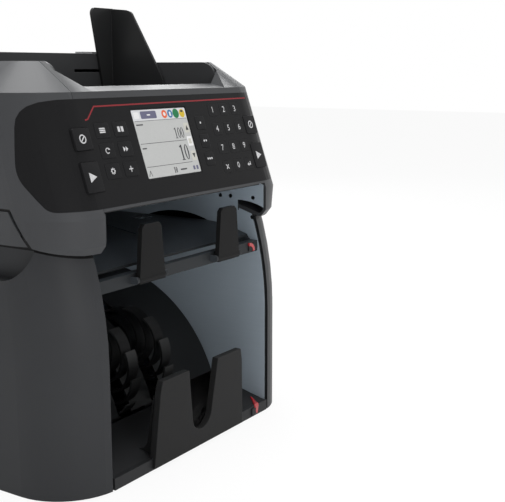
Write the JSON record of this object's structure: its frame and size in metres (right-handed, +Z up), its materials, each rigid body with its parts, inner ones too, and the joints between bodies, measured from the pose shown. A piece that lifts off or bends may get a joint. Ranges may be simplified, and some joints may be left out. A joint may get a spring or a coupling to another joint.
{
  "type": "two-pocket banknote counter",
  "caption": "Desk-top banknote counter with a top hopper, a reject pocket, a stacker pocket, a hinged head and a keypad panel with a display.",
  "frame": {"origin": "middle of the footprint on the table top", "axes": "+X to the right of a user facing the machine, +Y to the back, +Z up"},
  "size_m": [0.3, 0.306, 0.3615],
  "materials": {
    "charcoal_cover": "fine moulded grain, satin",
    "dark_plastic": "fine moulded grain",
    "black_plastic": "satin moulded",
    "stop_plastic": "satin moulded",
    "guide_plastic": "satin moulded",
    "hopper_plastic": "satin moulded",
    "tray_coat": "satin grey-blue coat",
    "sheet_steel": "satin grey-blue coat",
    "bright_steel": "turned",
    "cage_metal": "plain",
    "rubber": "matt",
    "wheel_rubber": "matt",
    "panel_black": "satin film",
    "key_rubber": "matt",
    "display_glass": "smooth",
    "board_green": "lacquered",
    "lamp_lens": "clear lens"
  },
  "bodies": {
    "body": {"base_tray": "dark_plastic", "lower_left_cover": "charcoal_cover", "lower_right_cover": "charcoal_cover", "lower_rear_cover": "charcoal_cover", "left_side_plate": "sheet_steel", "right_side_plate": "sheet_steel", "stacker_chute": "black_plastic", "stop_plate": "stop_plastic", "reject_tray": "tray_coat", "rubber_feet": "rubber", "cover_screws": "bright_steel", "mains_inlet": "black_plastic", "power_supply": "cage_metal", "drive_motor": "cage_metal", "drive_belt": "rubber", "signal_lamps": "lamp_lens", "hinge_pins": "bright_steel"},
    "stacker": {"stacker_shaft": "bright_steel", "stacker_wheel_left": "wheel_rubber", "stacker_wheel_right": "wheel_rubber"},
    "motor_pulley": {"motor_pulley": "cage_metal"},
    "reject_stop_left": {"reject_stop_left": "stop_plastic"},
    "reject_stop_right": {"reject_stop_right": "stop_plastic"},
    "power_rocker": {"power_rocker": "black_plastic"},
    "head": {"head_left_cover": "charcoal_cover", "head_right_cover": "charcoal_cover", "head_centre_cover": "charcoal_cover", "head_frame": "sheet_steel", "control_overlay": "panel_black", "display_module": "display_glass", "keypad_board": "board_green", "hopper_tray": "hopper_plastic"},
    "guide_left": {"guide_left": "guide_plastic"},
    "guide_right": {"guide_right": "guide_plastic"},
    "feed_roller": {"feed_roller": "wheel_rubber"},
    "key_function_1": {"key_function_1": "key_rubber"},
    "key_function_2": {"key_function_2": "key_rubber"},
    "key_function_3": {"key_function_3": "key_rubber"},
    "key_function_4": {"key_function_4": "key_rubber"},
    "key_function_5": {"key_function_5": "key_rubber"},
    "key_function_6": {"key_function_6": "key_rubber"},
    "key_soft_1": {"key_soft_1": "key_rubber"},
    "key_soft_2": {"key_soft_2": "key_rubber"},
    "key_soft_3": {"key_soft_3": "key_rubber"},
    "key_1": {"key_1": "key_rubber"},
    "key_2": {"key_2": "key_rubber"},
    "key_3": {"key_3": "key_rubber"},
    "key_4": {"key_4": "key_rubber"},
    "key_5": {"key_5": "key_rubber"},
    "key_6": {"key_6": "key_rubber"},
    "key_7": {"key_7": "key_rubber"},
    "key_8": {"key_8": "key_rubber"},
    "key_9": {"key_9": "key_rubber"},
    "key_cancel": {"key_cancel": "key_rubber"},
    "key_0": {"key_0": "key_rubber"},
    "key_enter": {"key_enter": "key_rubber"},
    "key_clear_left": {"key_clear_left": "key_rubber"},
    "key_clear_right": {"key_clear_right": "key_rubber"},
    "key_start_left": {"key_start_left": "key_rubber"},
    "key_start_right": {"key_start_right": "key_rubber"}
  },
  "joints": [
    {"name": "head_hinge", "type": "hinge", "parent": "body", "child": "head", "pos_m": [0, 0.147, 0.1895], "axis": [-1, 0, 0], "range_deg": [0, 55]},
    {"name": "stacker_spin", "type": "hinge", "parent": "body", "child": "stacker", "pos_m": [0, -0.054, 0.056], "axis": [1, 0, 0], "continuous": true},
    {"name": "motor_spin", "type": "hinge", "parent": "body", "child": "motor_pulley", "pos_m": [0.114, 0.03, 0.056], "axis": [1, 0, 0], "continuous": true},
    {"name": "reject_stop_left_tilt", "type": "hinge", "parent": "body", "child": "reject_stop_left", "pos_m": [-0.051, -0.141, 0.152], "axis": [1, 0, 0], "range_deg": [0, 35], "stiffness_Nm_per_rad": 0.05, "springref_deg": -17.19},
    {"name": "reject_stop_right_tilt", "type": "hinge", "parent": "body", "child": "reject_stop_right", "pos_m": [0.051, -0.141, 0.152], "axis": [1, 0, 0], "range_deg": [0, 35], "stiffness_Nm_per_rad": 0.05, "springref_deg": -17.19},
    {"name": "power_rocker_tilt", "type": "hinge", "parent": "body", "child": "power_rocker", "pos_m": [0.028, 0.1415, 0.034], "axis": [1, 0, 0], "range_deg": [0, 12]},
    {"name": "guide_left_slide", "type": "slide", "parent": "head", "child": "guide_left", "axis": [1, 0, 0], "range_m": [0, 0.035]},
    {"name": "guide_right_slide", "type": "slide", "parent": "head", "child": "guide_right", "axis": [-1, 0, 0], "range_m": [0, 0.035]},
    {"name": "feed_spin", "type": "hinge", "parent": "head", "child": "feed_roller", "pos_m": [0, -0.062, 0.25535], "axis": [1, 0, 0], "continuous": true},
    {"name": "key_function_1_press", "type": "slide", "parent": "head", "child": "key_function_1", "axis": [0, 0.9494, -0.314], "range_m": [0, 0.0008], "stiffness_N_per_m": 800, "springref_m": -0.0005},
    {"name": "key_function_2_press", "type": "slide", "parent": "head", "child": "key_function_2", "axis": [0, 0.9494, -0.314], "range_m": [0, 0.0008], "stiffness_N_per_m": 800, "springref_m": -0.0005},
    {"name": "key_function_3_press", "type": "slide", "parent": "head", "child": "key_function_3", "axis": [0, 0.9494, -0.314], "range_m": [0, 0.0008], "stiffness_N_per_m": 800, "springref_m": -0.0005},
    {"name": "key_function_4_press", "type": "slide", "parent": "head", "child": "key_function_4", "axis": [0, 0.9494, -0.314], "range_m": [0, 0.0008], "stiffness_N_per_m": 800, "springref_m": -0.0005},
    {"name": "key_function_5_press", "type": "slide", "parent": "head", "child": "key_function_5", "axis": [0, 0.9494, -0.314], "range_m": [0, 0.0008], "stiffness_N_per_m": 800, "springref_m": -0.0005},
    {"name": "key_function_6_press", "type": "slide", "parent": "head", "child": "key_function_6", "axis": [0, 0.9494, -0.314], "range_m": [0, 0.0008], "stiffness_N_per_m": 800, "springref_m": -0.0005},
    {"name": "key_soft_1_press", "type": "slide", "parent": "head", "child": "key_soft_1", "axis": [0, 0.9494, -0.314], "range_m": [0, 0.0008], "stiffness_N_per_m": 800, "springref_m": -0.0005},
    {"name": "key_soft_2_press", "type": "slide", "parent": "head", "child": "key_soft_2", "axis": [0, 0.9494, -0.314], "range_m": [0, 0.0008], "stiffness_N_per_m": 800, "springref_m": -0.0005},
    {"name": "key_soft_3_press", "type": "slide", "parent": "head", "child": "key_soft_3", "axis": [0, 0.9494, -0.314], "range_m": [0, 0.0008], "stiffness_N_per_m": 800, "springref_m": -0.0005},
    {"name": "key_1_press", "type": "slide", "parent": "head", "child": "key_1", "axis": [0, 0.9494, -0.314], "range_m": [0, 0.0008], "stiffness_N_per_m": 800, "springref_m": -0.0005},
    {"name": "key_2_press", "type": "slide", "parent": "head", "child": "key_2", "axis": [0, 0.9494, -0.314], "range_m": [0, 0.0008], "stiffness_N_per_m": 800, "springref_m": -0.0005},
    {"name": "key_3_press", "type": "slide", "parent": "head", "child": "key_3", "axis": [0, 0.9494, -0.314], "range_m": [0, 0.0008], "stiffness_N_per_m": 800, "springref_m": -0.0005},
    {"name": "key_4_press", "type": "slide", "parent": "head", "child": "key_4", "axis": [0, 0.9494, -0.314], "range_m": [0, 0.0008], "stiffness_N_per_m": 800, "springref_m": -0.0005},
    {"name": "key_5_press", "type": "slide", "parent": "head", "child": "key_5", "axis": [0, 0.9494, -0.314], "range_m": [0, 0.0008], "stiffness_N_per_m": 800, "springref_m": -0.0005},
    {"name": "key_6_press", "type": "slide", "parent": "head", "child": "key_6", "axis": [0, 0.9494, -0.314], "range_m": [0, 0.0008], "stiffness_N_per_m": 800, "springref_m": -0.0005},
    {"name": "key_7_press", "type": "slide", "parent": "head", "child": "key_7", "axis": [0, 0.9494, -0.314], "range_m": [0, 0.0008], "stiffness_N_per_m": 800, "springref_m": -0.0005},
    {"name": "key_8_press", "type": "slide", "parent": "head", "child": "key_8", "axis": [0, 0.9494, -0.314], "range_m": [0, 0.0008], "stiffness_N_per_m": 800, "springref_m": -0.0005},
    {"name": "key_9_press", "type": "slide", "parent": "head", "child": "key_9", "axis": [0, 0.9494, -0.314], "range_m": [0, 0.0008], "stiffness_N_per_m": 800, "springref_m": -0.0005},
    {"name": "key_cancel_press", "type": "slide", "parent": "head", "child": "key_cancel", "axis": [0, 0.9494, -0.314], "range_m": [0, 0.0008], "stiffness_N_per_m": 800, "springref_m": -0.0005},
    {"name": "key_0_press", "type": "slide", "parent": "head", "child": "key_0", "axis": [0, 0.9494, -0.314], "range_m": [0, 0.0008], "stiffness_N_per_m": 800, "springref_m": -0.0005},
    {"name": "key_enter_press", "type": "slide", "parent": "head", "child": "key_enter", "axis": [0, 0.9494, -0.314], "range_m": [0, 0.0008], "stiffness_N_per_m": 800, "springref_m": -0.0005},
    {"name": "key_clear_left_press", "type": "slide", "parent": "head", "child": "key_clear_left", "axis": [0, 0.9494, -0.314], "range_m": [0, 0.0008], "stiffness_N_per_m": 800, "springref_m": -0.0005},
    {"name": "key_clear_right_press", "type": "slide", "parent": "head", "child": "key_clear_right", "axis": [0, 0.9494, -0.314], "range_m": [0, 0.0008], "stiffness_N_per_m": 800, "springref_m": -0.0005},
    {"name": "key_start_left_press", "type": "slide", "parent": "head", "child": "key_start_left", "axis": [0, 0.9494, -0.314], "range_m": [0, 0.0008], "stiffness_N_per_m": 800, "springref_m": -0.0005},
    {"name": "key_start_right_press", "type": "slide", "parent": "head", "child": "key_start_right", "axis": [0, 0.9494, -0.314], "range_m": [0, 0.0008], "stiffness_N_per_m": 800, "springref_m": -0.0005}
  ],
  "couplings": [
    {"joint": "motor_spin", "follows": "stacker_spin", "ratio": 1.6},
    {"joint": "guide_right_slide", "follows": "guide_left_slide", "ratio": 1}
  ]
}
